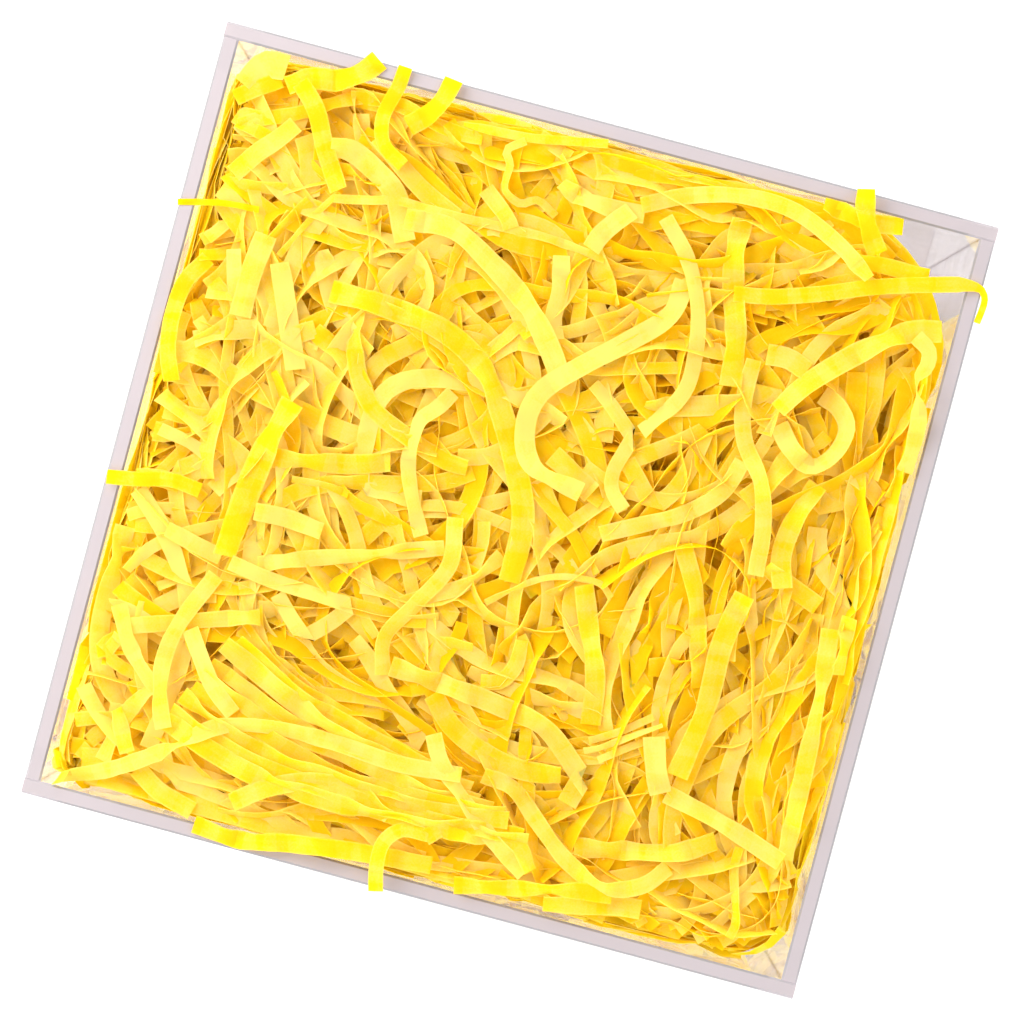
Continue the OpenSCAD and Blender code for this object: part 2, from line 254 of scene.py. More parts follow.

# More strips just below those, with no CAD node of their own: width as a share, paleness (partly own tone,
# partly painted highlight, as above), points.
# A point given twice is a fold.
EXTRA_SHREDS = [
    # At the back left
    (1.5, 0.8, [(-68.5, 64), (-66, 69), (-62, 69.5)]),
    (1.0, 0.6, [(-66.5, 47.5), (-63, 52.5), (-60, 56), (-57.5, 59.5)]),
    (0.36, 0.5, [(-46.3, 49.3), (-50, 43.5), (-54.2, 34.8)]),
    (1.05, 0.5, [(-42, 61), (-35, 56), (-30, 53), (-24, 50.3)]),
    (1.2, 0.7, [(-50, 57), (-46, 57.3), (-41, 55), (-36, 51.5), (-33, 45.5), (-32, 43.5)]),
    (0.5, 0.6, [(-47, 47.8), (-40, 49.3), (-35, 50.5), (-25, 50.5), (-12, 51), (-5, 51), (5, 50)]),
    (0.5, 0.4, [(-27, 67.5), (-15, 68.2), (-8, 69.5), (0, 71)]),
    (0.9, 0.5, [(-20, 57), (-15, 53), (-13.5, 51)]),
    (0.45, 0.6,
        [(-15, 67.5), (-18, 65), (-16.7, 62.5), (-16.8, 60), (-16.3, 57.5), (-13, 56),
         (-10, 57.5), (-6, 55.5)]),
    # At the back right
    (1.05, 0.8, [(-6.5, 61.5), (-2, 60), (4, 59.5), (10, 60)]),
    (1.05, 0.8, [(2, 51), (3, 54), (5, 57), (7.5, 60)]),
    (1.0, 0.3, [(42, 71), (50, 69.5), (57.5, 70.5)]),
    (0.9, 0.2, [(50, 62), (57, 62.3), (64.5, 62.5)]),
    (0.9, 0.8, [(65, 51), (68, 49), (68.3, 46), (67, 43.5), (68, 40), (69.5, 36), (69.8, 30), (69.5, 26)]),
    (1.0, 0.9, [(-3, 48.5), (-1.5, 42), (-1.5, 37), (0, 33)]),
    # In the middle
    (0.8, 0.8,
        [(9, 26.8), (13, 24), (18.7, 19), (18.7, 19), (17.8, 16), (16.8, 12), (17.5, 8.5), (20.5, 5.5)]),
    (1.2, 0.6, [(5, 12), (9, 10), (14, 7)]),
    (0.85, 0.9,
        [(-16, 18.5), (-18, 15), (-20.5, 12), (-20.8, 8), (-20.8, 4), (-19, -1), (-16.5, -6), (-14.8, -9)]),
    (0.45, 0.5, [(-41, -5), (-35, -4.5), (-30, -5)]),
    (1.15, 0.5, [(48.5, 24), (45.5, 17.5), (42, 13)]),
    (1.05, 0.4, [(49, 2), (54, 0), (60.5, -2.5)]),
    (0.9, 0.4, [(66.5, -3), (67, -9), (67, -14)]),
    (0.36, 0.7, [(0, -18), (4, -14.5), (8, -11.5), (12, -9.7), (16, -9), (20, -9), (22.5, -11)]),
    (0.85, 0.5, [(8.5, -23), (8.5, -28), (6.5, -31.5), (3, -32.5)]),
    # At the left
    (0.9, 0.8, [(-61, -20), (-55, -21.5), (-50, -22.5)]),
    (0.9, 0.6, [(-65, -40), (-55, -36.5), (-45, -33), (-40, -31.5)]),
    (0.9, 0.8, [(-52, -37), (-49, -41), (-45, -46), (-40, -50)]),
    (0.9, 0.8, [(-66, -36), (-62, -43), (-57, -48), (-54, -50)]),
    (0.9, 0.5, [(-61.5, -55), (-59, -60), (-57.5, -62.5)]),
    (1.0, 0.5, [(-55, -65), (-50, -68), (-43, -70)]),
    # At the front right
    (0.5, 0.4, [(58, -50), (58, -54), (59.5, -59), (61, -64), (60.5, -67)]),
    (1.05, 0.4, [(25, -69.5), (32, -68), (38, -66.5), (43, -66)]),
    (0.4, 0.7, [(39.5, -33), (34, -36.5), (28, -41)]),
    (0.4, 0.7, [(36, -30.5), (31, -34.5), (25.5, -38)]),
    (0.4, 0.8, [(38, -31.5), (33, -35), (28, -38.5), (25, -40)]),
    (1.2, 0.8, [(37, -34), (39, -40), (41, -44)]),
]

# The bundle of strips side by side at the front left: its tilt in radians, its first strip, and
# the step of each point from one strip to the next
BUNDLE_COUNT = 9
BUNDLE_TILT = 0.25
BUNDLE_START = [(-43, -34), (-31, -40.5), (-20, -45), (-9, -48.5), (2, -50)]
BUNDLE_SHIFT = [(-1.2, -2.6), (-0.6, -2.4), (0.2, -2.0), (1.2, -1.5), (2.2, -1.1)]

# The strip that crosses the gap at the back right corner and hangs down outside: x, y and the
# height above the rim. It narrows from the first width to the second between two places in x.
HANGING_SHRED = [
    (30, 50, 1.5), (36, 51, 2), (42, 52.8, 2.4), (48, 55, 2.8), (54, 57.5, 3), (60, 59.5, 3),
    (66, 61.3, 2.4), (71, 62.7, 1.5), (74.3, 62.9, 0.8), (75.6, 61.9, 0.1), (76.1, 60.6, -1.4),
    (76.2, 59, -3.3), (76.1, 57, -5),
]
HANGING_WIDTHS = (3.0, 1.3)
HANGING_NARROWS = (70, OUTER_HALF)
# Paleness of the hanging strip: partly its own tone and partly painted highlight
HANGING_TONE_AND_HIGHLIGHT = 0.3

# Placed strips paler than this, a paleness that is partly own tone and partly painted highlight, are
# passed the slot name pale_paper, which nothing reads; all placed strips take the same tissue
PALE_TONE_AND_HIGHLIGHT = 0.35

rng = np.random.default_rng(SEED)


# ---- Curves ----

# How finely a curve is worked out between two of its given points
SPAN_POINTS = 12


def smooth_leg(points, step):
    """Even steps along the Catmull-Rom curve through the points."""
    knots = np.array(points, float)
    first = 2 * knots[0] - knots[1]
    last = 2 * knots[-1] - knots[-2]
    knots = np.vstack([first, knots, last])
    t = np.linspace(0, 1, SPAN_POINTS, endpoint=False)[:, None]
    spans = [
        0.5 * (2 * b + (c - a) * t + (2 * a - 5 * b + 4 * c - d) * t**2 + (3 * b - a - 3 * c + d) * t**3)
        for a, b, c, d in zip(knots, knots[1:], knots[2:], knots[3:])
    ]
    return even_steps(np.vstack([*spans, knots[-2][None]]), step)


def smooth_path(points, step):
    """A smooth path and the places in it where the strip is folded, which are the points given twice."""
    legs = [[points[0]]]
    for before, point in zip(points, points[1:]):
        if point == before:
            legs.append([point])
        else:
            legs[-1].append(point)
    path = smooth_leg(legs[0], step)
    folds = []
    for leg in legs[1:]:
        folds.append(len(path) - 1)
        path = np.vstack([path, smooth_leg(leg, step)[1:]])
    return path, folds


def even_steps(path, step):
    """The same path with its points the same distance apart."""
    gaps = np.linalg.norm(np.diff(path, axis=0), axis=1)
    along = np.concatenate([[0], np.cumsum(gaps)])
    count = max(4, round(along[-1] / step) + 1)
    even = np.linspace(0, along[-1], count)
    return np.column_stack([np.interp(even, along, column) for column in path.T])


def drift(count, apart, size):
    """A smooth random run of values, with a new random value every so many steps."""
    knots = rng.normal(0, size, count // apart + 3)
    place = np.arange(count) / apart
    low = place.astype(int)
    share = place - low
    share = share * share * (3 - 2 * share)
    return knots[low] * (1 - share) + knots[low + 1] * share


def unit(vectors):
    """The vectors at length 1."""
    return vectors / np.maximum(np.linalg.norm(vectors, axis=-1, keepdims=True), 1e-9)


def keep_inside(xy, gap):
    """The points moved to the nearest place inside the heap's outline, with a gap to the walls."""
    limit = INNER_HALF - gap
    inside = np.clip(xy, -limit[:, None], limit[:, None])
    for signs, radius in CORNER_RADII.items():
        centre = np.array(signs) * (limit[:, None] - radius)
        off = (inside - centre) * signs
        distance = np.linalg.norm(off, axis=1)
        outside = (off > 0).all(axis=1) & (distance > radius)
        pulled = centre + off * signs * (radius / np.maximum(distance, 1e-9))[:, None]
        inside = np.where(outside[:, None], pulled, inside)
    return inside


# ---- Ribbons ----

# A ribbon's ring of six points: place across from -1 to 1, and under or over
RING_ACROSS = np.array([-1, 0, 1, 1, 0, -1])
RING_OVER = np.array([-1, -1, -1, 1, 1, 1])
START_CAP = np.array([[0, 5, 4, 1], [1, 4, 3, 2]])
END_CAP = np.array([[0, 1, 4, 5], [1, 2, 3, 4]])

# The space for boxed ribbons, clear of the panels and open at the top
SPACE_HALF = INNER_HALF - PANEL_CLEARANCE
SPACE_LOW = np.array([-SPACE_HALF, -SPACE_HALF, BASE_TOP + PANEL_CLEARANCE])
SPACE_HIGH = np.array([SPACE_HALF, SPACE_HALF, np.inf])

# How far apart in the noise patterns two strips are, so that no two look alike
PATTERN_SHIFT = 50

# Edges sharper than this, in degrees, are shaded sharp
SHARP_ANGLE = 30


class Ribbons:
    """Closed ribbons collected for one piece."""

    def __init__(self):
        self.points = []
        self.quads = []
        self.tones_and_highlights = []
        self.places = []
        self.count = 0

    def add(self, centre, side, normal, width, tone_and_highlight, crown=0.0, boxed=False):
        """Adds a ribbon along a centre line, with the directions across it and out of its face.

        Its middle is raised by the crown. A boxed ribbon is moved clear of the panels wherever it
        would cut into one.
        """
        half = np.broadcast_to(width, len(centre)) / 2
        lift = RING_OVER * PAPER_THICK / 2 + crown * (1 - np.abs(RING_ACROSS))
        ring = (
            centre[:, None, :]
            + side[:, None, :] * (RING_ACROSS[None, :, None] * half[:, None, None])
            + normal[:, None, :] * lift[None, :, None]
        )
        if boxed:
            ring += np.maximum(SPACE_LOW - ring.min(axis=1), 0)[:, None, :]
            ring -= np.maximum(ring.max(axis=1) - SPACE_HIGH, 0)[:, None, :]
        size = len(RING_ACROSS)
        start = self.count + size * np.arange(len(centre) - 1)[:, None]
        here = np.arange(size)
        there = (here + 1) % size
        walls = np.stack([start + here, start + there, start + size + there, start + size + here], axis=-1)
        end = self.count + size * (len(centre) - 1)
        self.quads += [walls.reshape(-1, 4), START_CAP + self.count, END_CAP + end]
        self.points.append(ring.reshape(-1, 3))
        self.tones_and_highlights.append(np.full(size * len(centre), tone_and_highlight))
        gaps = np.linalg.norm(np.diff(centre, axis=0), axis=1)
        distance = np.concatenate([[0], np.cumsum(gaps)])
        place = np.zeros((len(centre), size, 3))
        place[:, :, 0] = distance[:, None]
        place[:, :, 1] = RING_ACROSS * half[:, None]
        place[:, :, 2] = PATTERN_SHIFT * len(self.tones_and_highlights)
        self.places.append(place.reshape(-1, 3))
        self.count += size * len(centre)

    def build(self, name, slot, material):
        """The piece, riding with the paper."""
        points = np.vstack(self.points) * MM
        quads = np.vstack(self.quads)
        mesh = bpy.data.meshes.new(name)
        mesh.vertices.add(len(points))
        mesh.vertices.foreach_set("co", points.ravel())
        mesh.loops.add(quads.size)
        mesh.loops.foreach_set("vertex_index", quads.ravel())
        mesh.polygons.add(len(quads))
        mesh.polygons.foreach_set("loop_start", np.arange(0, quads.size, 4))
        mesh.update(calc_edges=True)
        mesh.shade_smooth()
        mesh.set_sharp_from_angle(angle=math.radians(SHARP_ANGLE))
        # Each point's paleness, partly the paper's own tone and partly painted highlight
        tone_and_highlight = mesh.attributes.new("tone_and_highlight", "FLOAT", "POINT")
        tone_and_highlight.data.foreach_set("value", np.concatenate(self.tones_and_highlights).astype(np.float32))
        edge = mesh.attributes.new("edge", "FLOAT", "POINT")
        edge_values = np.tile(np.abs(RING_ACROSS), self.count // len(RING_ACROSS))
        edge.data.foreach_set("value", edge_values.astype(np.float32))
        place = mesh.attributes.new("strip_place", "FLOAT_VECTOR", "POINT")
        place.data.foreach_set("vector", np.vstack(self.places).astype(np.float32).ravel())
        piece = bpy.data.objects.new(name, mesh)
        bpy.context.scene.collection.objects.link(piece)
        piece.data.materials.append(material)
        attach(piece, "paper_fill")
        return piece


def lying_frame(centre, roll, folds):
    """Directions across and out of a strip that lies flat apart from its roll, in radians, and its folds."""
    along = unit(np.gradient(centre, axis=0))
    flat = unit(np.cross([0, 0, 1], along))
    upright = np.cross(along, flat)
    side = np.cos(roll)[:, None] * flat + np.sin(roll)[:, None] * upright
    for fold in folds:
        side[fold:] *= -1
    normal = np.cross(along, side)
    for fold in folds:
        arriving = unit(centre[fold] - centre[fold - 1])
        leaving = unit(centre[fold + 1] - centre[fold])
        crease = unit(arriving + leaving)
        slant = max(LEAST_SLANT, np.linalg.norm(np.cross(crease, arriving)))
        side[fold] = crease / slant * math.copysign(1, side[fold - 1] @ crease)
        normal[fold] = unit(leaving - arriving) * math.copysign(1, normal[fold - 1][2])
    return side, normal


# ---- The heap: strips lie on those below ----

# Places across a strip where it is laid on the heap, from its one edge to the other
LAID_PLACES = (-1, -0.5, 0, 0.5, 1)

# The least share of its width that a strip covers, when it stands on its edge
LEAST_FLAT = 0.15

# How far a strip that bridges bumps follows the highest of them, and how far their mean
HIGHEST_SHARE = 0.7
MEAN_SHARE = 0.3

# How many steps a strip bridges
TOP_SPAN = 3
PLACED_SPAN = 5

# How far the middle of a strip is raised above its edges: at random at the top
TOP_CROWN = 0.05
PLACED_CROWN = 0.05

# The space that a placed strip leaves under itself
PLACED_GAP = 0.1

# The height of the loose paper is evened out over this distance
LEVEL_REACH = 8


class Heap:
    """The height of the paper's surface on a square grid, whose cell and reach are in millimetres."""

    cell = 0.75
    reach = 78.0

    def __init__(self, level):
        self.size = round(2 * self.reach / self.cell)
        axis = (np.arange(self.size) + 0.5) * self.cell - self.reach
        self.x, self.y = np.meshgrid(axis, axis, indexing="ij")
        self.height = np.full(self.x.shape, float(level))

    def cells(self, xy):
        """Grid places of some points."""
        return tuple(np.clip(((xy + self.reach) / self.cell).astype(int), 0, self.size - 1).T)

    def lay(self, path, width, roll, gap, span):
        """Heights for a strip laid on the heap along a path, which the heap then includes."""
        along = unit(np.gradient(path, axis=0))
        across = np.column_stack([-along[:, 1], along[:, 0]])
        flat_half = width / 2 * np.maximum(np.cos(roll), LEAST_FLAT)
        tall_half = width / 2 * np.abs(np.sin(roll))
        spots = [self.cells(path + across * (k * flat_half)[:, None]) for k in LAID_PLACES]
        under = np.max([self.height[s] for s in spots], axis=0)
        middle = bridged(under, span) + gap + tall_half
        for k, s in zip(LAID_PLACES, spots):
            top = middle + k * tall_half * np.sign(roll) + PAPER_THICK
            np.maximum.at(self.height, s, top)
        return middle

    def blurred(self, reach):
        """The surface with everything smaller than the reach, in millimetres, smoothed away."""
        smooth = self.height.copy()
        radius = round(reach / self.cell)
        for _ in range(2):
            for axis in (0, 1):
                margins = [(0, 0), (0, 0)]
                margins[axis] = (radius + 1, radius)
                padded = np.pad(smooth, margins, "edge")
                total = np.cumsum(padded, axis=axis)
                high = np.take(total, range(2 * radius + 1, total.shape[axis]), axis)
                low = np.take(total, range(0, total.shape[axis] - 2 * radius - 1), axis)
                smooth = (high - low) / (2 * radius + 1)
        return smooth


def fold_settings(count, folds, roll):
    """Flattens the roll at each fold, and gives how far each point lies above the first leg."""
    for fold in folds:
        roll *= np.clip(np.abs(np.arange(count) - fold) / 3, 0, 1)
    return FOLD_LIFT * np.searchsorted(folds, np.arange(count), side="right")


def bridged(heights, span):
    """The line that a stiff strip takes over bumps: up to the highest within the span, then smoothed."""
    padded = np.pad(heights, span, "edge")
    windows = np.lib.stride_tricks.sliding_window_view(padded, 2 * span + 1)
    tops = windows.max(axis=1) * HIGHEST_SHARE + windows.mean(axis=1) * MEAN_SHARE
    tops = np.pad(tops, span, "edge")
    return np.lib.stride_tricks.sliding_window_view(tops, 2 * span + 1).mean(axis=1)


def surface_height(x, y):
    """Where the top of the loose paper comes to, before the strips on top."""
    across = np.clip(np.maximum(np.abs(x), np.abs(y)) / INNER_HALF, 0, 1)
    corner = np.clip(np.abs(x * y) / INNER_HALF**2, 0, 1)
    return RIM - MIDDLE_DROP - WALL_DROP * across**5 - CORNER_DROP * corner**4


def flow(places):
    """The direction that strips take at each place, in radians, and how strongly."""
    x, y = places.T
    along_x = np.exp((np.abs(y) - INNER_HALF) / FLOW_REACH)
    along_y = np.exp((np.abs(x) - INNER_HALF) / FLOW_REACH)
    cos_sum = WALL_PULL * (along_x - along_y)
    sin_sum = np.zeros(len(x))
    for spot_x, spot_y, reach_x, reach_y, angle, pull in FLOW_SPOTS:
        weight = pull * np.exp(-(((x - spot_x) / reach_x) ** 2) - ((y - spot_y) / reach_y) ** 2)
        cos_sum += weight * math.cos(2 * math.radians(angle))
        sin_sum += weight * math.sin(2 * math.radians(angle))
    return 0.5 * np.arctan2(sin_sum, cos_sum), np.minimum(1, np.hypot(cos_sum, sin_sum))


def wandering_paths(count):
    """Paths from above of strips at the top, drawn along by the flow, each with its folds."""
    gap = WALL_GAP + STRIP_WIDTH / 2 + rng.exponential(TOP_GAP_MEAN, count)
    place = keep_inside(rng.uniform(-INNER_HALF, INNER_HALF, (count, 2)), gap)
    direction, pull = flow(place)
    heading = direction + math.pi * rng.integers(0, 2, count)
    heading += rng.normal(0, 1, count) * (0.2 + 1.2 * (1 - pull) ** 2)
    length = rng.integers(SHORTEST_TOP_STEPS, LONGEST_TOP_STEPS, count)
    length = length * np.where(place[:, 0] < SHORT_SIDE, 0.5, 1)
    steady = rng.normal(0, STEADY_TURN, count)
    bend = np.zeros(count)
    going = np.ones(count, bool)
    steps = np.zeros(count, int)
    since_fold = np.zeros(count, int)
    track = [place]
    folded = []
    for step in range(LONGEST_TOP_STEPS):
        direction, pull = flow(place)
        bend = TURN_KEPT * bend + rng.normal(0, RANDOM_TURN, count)
        fold = (rng.random(count) < FOLD_CHANCE) & (since_fold > FOLD_APART)
        turn = rng.choice([-1, 1], count) * rng.uniform(*FOLD_TURN, count)
        drawn = FLOW_TURN * pull * np.sin(2 * (direction - heading))
        heading = heading + steady + bend + drawn + fold * turn
        wanted = place + TOP_STEP * np.column_stack([np.cos(heading), np.sin(heading)])
        moved = keep_inside(wanted, gap)
        shift = moved - place
        pushed = np.linalg.norm(moved - wanted, axis=1)
        going &= (pushed < MOST_PUSH * TOP_STEP) & (step < length)
        heading = np.arctan2(shift[:, 1], shift[:, 0])
        since_fold = np.where(fold, 0, since_fold + 1)
        steps += going
        place = moved
        track.append(place)
        folded.append(fold)
    track = np.array(track).transpose(1, 0, 2)
    folded = np.array(folded).T
    found = []
    for path, folds, end in zip(track, folded, steps):
        if end > FEWEST_TOP_STEPS:
            kept_folds = [f for f in np.flatnonzero(folds) if FOLD_APART <= f <= end - FOLD_APART]
            found.append((path[:end + 1], kept_folds))
    return found


def make_top_fill(heap):
    """Random strips lying on each other, with their top brought to surface_height."""
    strips = []
    base = heap.height.copy()
    paths = wandering_paths(TOP_STRIPS)
    for number, (path, folds) in enumerate(paths):
        count = len(path)
        width = STRIP_WIDTH * rng.uniform(*TOP_WIDTHS)
        roll = drift(count, *TOP_ROLL) + rng.normal(0, WHOLE_ROLL)
        if rng.random() < TWISTED_SHARE:
            roll += rng.choice([-1, 1]) * rng.uniform(*TWIST)
        lift = fold_settings(count, folds, roll)
        wave = np.abs(drift(count, *TOP_WAVE))
        height = heap.lay(path, width, roll, rng.uniform(*TOP_GAPS), TOP_SPAN) + lift + wave
        # Strips nearer the top are painted paler, as painted highlight on the strips that catch most light,
        # over a random spread of the paper's own tone; those at the left are painted paler again, as painted
        # light from the left
        tone_and_highlight = rng.uniform(0, 0.1 + 0.7 * (number / len(paths)) ** 2)
        tone_and_highlight += LEFT_PAINTED_LIGHT * np.clip(-path[:, 0].mean() / INNER_HALF, 0, 1)
        strips.append((path, folds, height, width, roll, tone_and_highlight))
    mean_top = heap.blurred(LEVEL_REACH)
    top = surface_height(heap.x, heap.y)
    squeeze = TOP_DEPTH / np.median(mean_top - base)
    groups = [Ribbons() for _ in range(TOP_PIECES)]
    for i, (path, folds, height, width, roll, tone_and_highlight) in enumerate(strips):
        cells = heap.cells(path)
        level = top[cells] + squeeze * (height - mean_top[cells])
        centre = np.column_stack([path, np.minimum(level, top[cells] + STAND_PROUD)])
        side, normal = lying_frame(centre, roll, folds)
        groups[i * TOP_PIECES // len(strips)].add(
            centre, side, normal, width, tone_and_highlight, rng.normal(0, TOP_CROWN), boxed=True
        )
    heap.height = top + squeeze * (heap.height - mean_top)
    return groups


def make_core_fill():
    """Random strips through the whole box, lying flat where they meet a wall or the base."""
    gap = WALL_GAP + rng.exponential(CORE_GAP_MEAN, CORE_STRIPS)
    low = BASE_TOP + gap
    high = RIM - CORE_DROP - gap * 0.5
    place = np.column_stack([
        rng.uniform(-INNER_HALF, INNER_HALF, (CORE_STRIPS, 2)) * CORE_SPREAD,
        rng.uniform(BASE_TOP, RIM - TOP_DEPTH, CORE_STRIPS),
    ])
    going = unit(rng.normal(0, 1, (CORE_STRIPS, 3)) * (1, 1, CORE_UPRIGHT))
    turning = rng.normal(0, CORE_TURN, (CORE_STRIPS, 3))
    paths = []
    for _ in range(CORE_POINTS):
        going = unit(going + turning + rng.normal(0, CORE_TURN, going.shape))
        turning = TURN_KEPT * turning + rng.normal(0, CORE_TURN_CHANGE, going.shape)
        moved = place + going * CORE_STEP
        held = np.column_stack([keep_inside(moved[:, :2], gap), np.clip(moved[:, 2], low, high)])
        going = unit(going + 0.5 * (held - moved) / CORE_STEP)
        place = held
        paths.append(place)
    paths = np.array(paths).transpose(1, 0, 2)
    groups = [Ribbons() for _ in range(CORE_PIECES)]
    for i, path in enumerate(paths):
        count = len(path)
        closeness = np.exp(-(INNER_HALF - np.abs(path[:, :2])) / CORE_FLAT_REACH)
        down = np.exp(-(path[:, 2] - BASE_TOP) / CORE_FLAT_REACH)
        facing = np.column_stack([closeness * np.sign(path[:, :2]), -down])
        facing += np.column_stack([drift(count, 5, 0.3) for _ in range(3)]) + rng.normal(0, 0.12, 3)
        centre = even_steps(path, CORE_STEP * 0.9)
        facing = facing[np.linspace(0, count - 1, len(centre)).round().astype(int)]
        along = unit(np.gradient(centre, axis=0))
        side = unit(np.cross(along, facing))
        width = STRIP_WIDTH * rng.uniform(*CORE_WIDTHS)
        groups[i * CORE_PIECES // CORE_STRIPS].add(
            centre, side, np.cross(along, side), width, rng.uniform(0, 0.35), boxed=True
        )
    return groups


def lay_shred(heap, ribbons, share, tone_and_highlight, points, tilt=0.0, boxed=False):
    """Lays a strip along its points on the heap, and adds its ribbon.

    The ribbon is kept inside the walls if it is boxed, and otherwise stays above the rim where it
    reaches that far.
    """
    path, folds = smooth_path(points, PLACED_STEP)
    width = STRIP_WIDTH * share
    roll = tilt + drift(len(path), *PLACED_ROLL)
    lift = fold_settings(len(path), folds, roll)
    wave = np.abs(drift(len(path), *PLACED_WAVE))
    height = heap.lay(path, width, roll, PLACED_GAP, PLACED_SPAN) + lift + wave
    height = np.minimum(height, RIM + HIGHEST_SHRED)
    if not boxed:
        over_rim = RIM + width / 2 * np.abs(np.sin(roll)) + 2 * PANEL_CLEARANCE
        by_rim = np.abs(path).max(axis=1) > INNER_HALF - width / 2
        height = np.where(by_rim, np.maximum(height, over_rim), height)
    centre = np.column_stack([path, height])
    ribbons.add(centre, *lying_frame(centre, roll, folds), width, tone_and_highlight, PLACED_CROWN, boxed)


# ---- Materials ----

def new_material(name):
    """An empty node material and its node-making helper."""
    material = bpy.data.materials.new(name)
    material.use_nodes = True
    tree = material.node_tree
    tree.nodes.clear()

    def node(kind, links=None, **settings):
        made = tree.nodes.new(kind)
        for key, value in settings.items():
            if key in made.inputs:
                made.inputs[key].default_value = value
            else:
                setattr(made, key, value)
        for key, source in (links or {}).items():
            tree.links.new(source, made.inputs[key])
        return made

    return material, node


def colour_ramp(node, source, stops):
    """A colour ramp with the given places and colours."""
    ramp = node("ShaderNodeValToRGB", {"Fac": source})
    elements = ramp.color_ramp.elements
    while len(elements) < len(stops):
        elements.new(0.5)
    for element, (place, colour) in zip(elements, stops):
        element.position = place
        element.color = (*colour, 1)
    return ramp.outputs["Color"]


def map_range(node, source, come_from, go_to=(0, 1)):
    """The source, with its range mapped from two values to two others."""
    mapped = node("ShaderNodeMapRange", {"Value": source})
    for key, value in zip(("From Min", "From Max", "To Min", "To Max"), (*come_from, *go_to)):
        mapped.inputs[key].default_value = value
    return mapped.outputs[0]


# How much paler the tissue is painted where nothing lies right under it: painted shade of the strips that
# show through from below, lighter where none do
UNDERLAY_SHADE_STRENGTH = 0.17

# How much paler its cut edges are painted: a painted highlight along each edge
EDGE_HIGHLIGHT = 0.3


def make_paper_material(name, translucency):
    """Thin dyed tissue: pale where it is lit, deep yellow where light comes through it.

    Slanting bands with soft edges are painted shade, standing for the strips that show through from
    below, and the cut edges get a painted highlight. The attribute strip_place gives each point's
    distance along its strip and across it, in millimetres, and edge goes from 0 at the middle of a
    strip to 1 at its cut edges. The attribute tone_and_highlight is a paleness that is partly the
    paper's own tone and partly painted highlight.
    """
    material, node = new_material(name)
    place = node("ShaderNodeAttribute", attribute_name="strip_place").outputs["Vector"]
    # Paleness of each strip: partly its own tone, partly painted highlight
    tone_and_highlight = node("ShaderNodeAttribute", attribute_name="tone_and_highlight").outputs["Fac"]
    stretched = node("ShaderNodeMapping", {"Vector": place})
    stretched.inputs["Scale"].default_value = (0.09, 1.3, 1)
    mottle = node("ShaderNodeTexNoise", {"Vector": place}, Scale=0.16, Detail=2).outputs["Fac"]
    streak = node("ShaderNodeTexNoise", {"Vector": stretched.outputs[0]}, Scale=1.0, Detail=3).outputs["Fac"]
    fibre = node("ShaderNodeTexNoise", {"Vector": place}, Scale=2.4, Detail=4, Roughness=0.75).outputs["Fac"]
    slanting = node("ShaderNodeMapping", {"Vector": place})
    slanting.inputs["Rotation"].default_value = (0, 0, math.radians(50))
    slanting.inputs["Scale"].default_value = (0.28, 0.07, 1)
    band = node("ShaderNodeTexNoise", {"Vector": slanting.outputs[0]}, Scale=1.0, Detail=0).outputs["Fac"]
    # Slanting soft-edged bands: painted shade of strips showing through from below
    underlay_shade = map_range(node, band, (0.48, 0.52), (0, UNDERLAY_SHADE_STRENGTH))
    streaks = node("ShaderNodeMath", {0: streak, 2: fibre}, operation="MULTIPLY_ADD")
    streaks.inputs[1].default_value = 0.4
    grain = streaks.outputs[0]
    edge = node("ShaderNodeAttribute", attribute_name="edge").outputs["Fac"]
    # A painted highlight along the cut edges
    edge_highlight = map_range(node, edge, (0.78, 1), (0, EDGE_HIGHLIGHT))
    # Paleness: mottle and grain are the paper's own tone, the edge highlight and the bands are painted light
    # and shade, and tone_and_highlight is both
    paleness = mottle
    for part in (edge_highlight, tone_and_highlight, underlay_shade, grain):
        paleness = node("ShaderNodeMath", {0: paleness, 1: part}, operation="ADD").outputs[0]
    level = map_range(node, paleness, (0.85, 2.2))
    front = colour_ramp(node, level, [
        (0.0, (0.99, 0.71, 0.0)),
        (0.5, (0.99, 0.79, 0.018)),
        (1.0, (0.99, 0.86, 0.29)),
    ])
    through = colour_ramp(node, level, [
        (0.0, (0.99, 0.74, 0.0)),
        (1.0, (0.99, 0.86, 0.04)),
    ])
    bump = node("ShaderNodeBump", {"Height": grain}, Strength=0.2, Distance=0.0002).outputs[0]
    paper = node("ShaderNodeBsdfPrincipled", {"Base Color": front, "Normal": bump}, Roughness=0.6)
    paper.inputs["Specular IOR Level"].default_value = 0.03
    glow = node("ShaderNodeBsdfTranslucent", {"Color": through, "Normal": bump})
    mix = node("ShaderNodeMixShader", {1: paper.outputs[0], 2: glow.outputs[0]}, Fac=translucency)
    node("ShaderNodeOutputMaterial", {"Surface": mix.outputs[0]})
    return material


# How clear the sawn edges of the acrylic are, where its faces are 1
SAWN_CLEAR = 0.2

# The colours of the acrylic: its sawn edges, partly their own frosted lilac and partly painted shade,
# darkened for the shaded floor seen down the panels; the walls' faces; the base's faces, darkened
# as painted shade of the floor under the box, with the table's beige tone seen through it; and in
# shadow rays
SAWN_TINT_AND_SHADE = (0.42, 0.375, 0.385)
WALL_TINT = (0.965, 0.945, 0.96)
BASE_TINT_AND_SHADE = (0.61, 0.525, 0.50)
SHADOW_TINT = (0.93, 0.92, 0.94)


